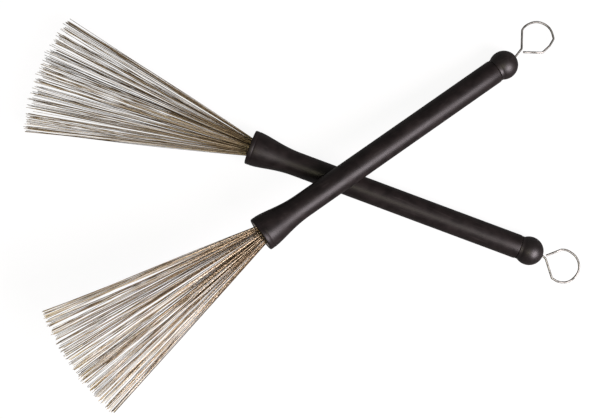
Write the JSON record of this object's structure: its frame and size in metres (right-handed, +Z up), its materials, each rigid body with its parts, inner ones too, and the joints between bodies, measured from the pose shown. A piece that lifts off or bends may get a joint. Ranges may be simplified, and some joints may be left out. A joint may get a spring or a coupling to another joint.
{
  "type": "wire drum brushes",
  "caption": "Pair of crossed retractable wire drum brushes: fans of steel wires that draw into rubber-sleeved tube handles by a rod with a finger loop.",
  "frame": {"origin": "on the surface that the brushes lie on, under the middle of the pair", "axes": "+X from the wire fans towards the finger loops, +Z up"},
  "size_m": [0.3212, 0.2206, 0.0582],
  "materials": {
    "grip_rubber": "satin moulded rubber, lightly handled",
    "ball_rubber": "satin moulded rubber",
    "bumper_rubber": "matt rubber",
    "tube_aluminium": "drawn, dull",
    "brass": "turned",
    "nylon": "natural nylon",
    "rod_steel": "bright drawn wire",
    "wire_steel": "drawn spring wire, warm grey"
  },
  "bodies": {
    "lower_handle": {"lower_grip_sleeve": "grip_rubber", "lower_handle_tube": "tube_aluminium", "lower_butt_ball": "ball_rubber", "lower_rod_guide": "brass", "lower_bumper_washer": "bumper_rubber"},
    "lower_rod": {"lower_ferrule": "brass", "lower_ferrule_plug": "brass", "lower_glide_ring": "nylon", "lower_pull_rod": "rod_steel", "lower_wires_side": "wire_steel", "lower_wires_rising": "wire_steel", "lower_wires_steep_rising": "wire_steel", "lower_wires_upright": "wire_steel", "lower_wires_steep_falling": "wire_steel", "lower_wires_falling": "wire_steel"},
    "upper_handle": {"upper_grip_sleeve": "grip_rubber", "upper_handle_tube": "tube_aluminium", "upper_butt_ball": "ball_rubber", "upper_rod_guide": "brass", "upper_bumper_washer": "bumper_rubber"},
    "upper_rod": {"upper_ferrule": "brass", "upper_ferrule_plug": "brass", "upper_glide_ring": "nylon", "upper_pull_rod": "rod_steel", "upper_wires_side": "wire_steel", "upper_wires_rising": "wire_steel", "upper_wires_steep_rising": "wire_steel", "upper_wires_upright": "wire_steel", "upper_wires_steep_falling": "wire_steel", "upper_wires_falling": "wire_steel"}
  },
  "joints": [
    {"name": "lower_rod_slide", "type": "slide", "parent": "lower_handle", "child": "lower_rod", "axis": [0.9372, -0.3487, -0.0107], "range_m": [0, 0.1295], "deforming": ["lower_wires_side", "lower_wires_rising", "lower_wires_steep_rising", "lower_wires_upright", "lower_wires_steep_falling", "lower_wires_falling"]},
    {"name": "upper_brush_lift", "type": "slide", "parent": "lower_handle", "child": "upper_handle", "axis": [0, 0, 1], "range_m": [0, 0.1]},
    {"name": "upper_rod_slide", "type": "slide", "parent": "upper_handle", "child": "upper_rod", "axis": [0.8123, 0.5678, -0.1333], "range_m": [0, 0.1263], "deforming": ["upper_wires_side", "upper_wires_rising", "upper_wires_steep_rising", "upper_wires_upright", "upper_wires_steep_falling", "upper_wires_falling"]}
  ]
}
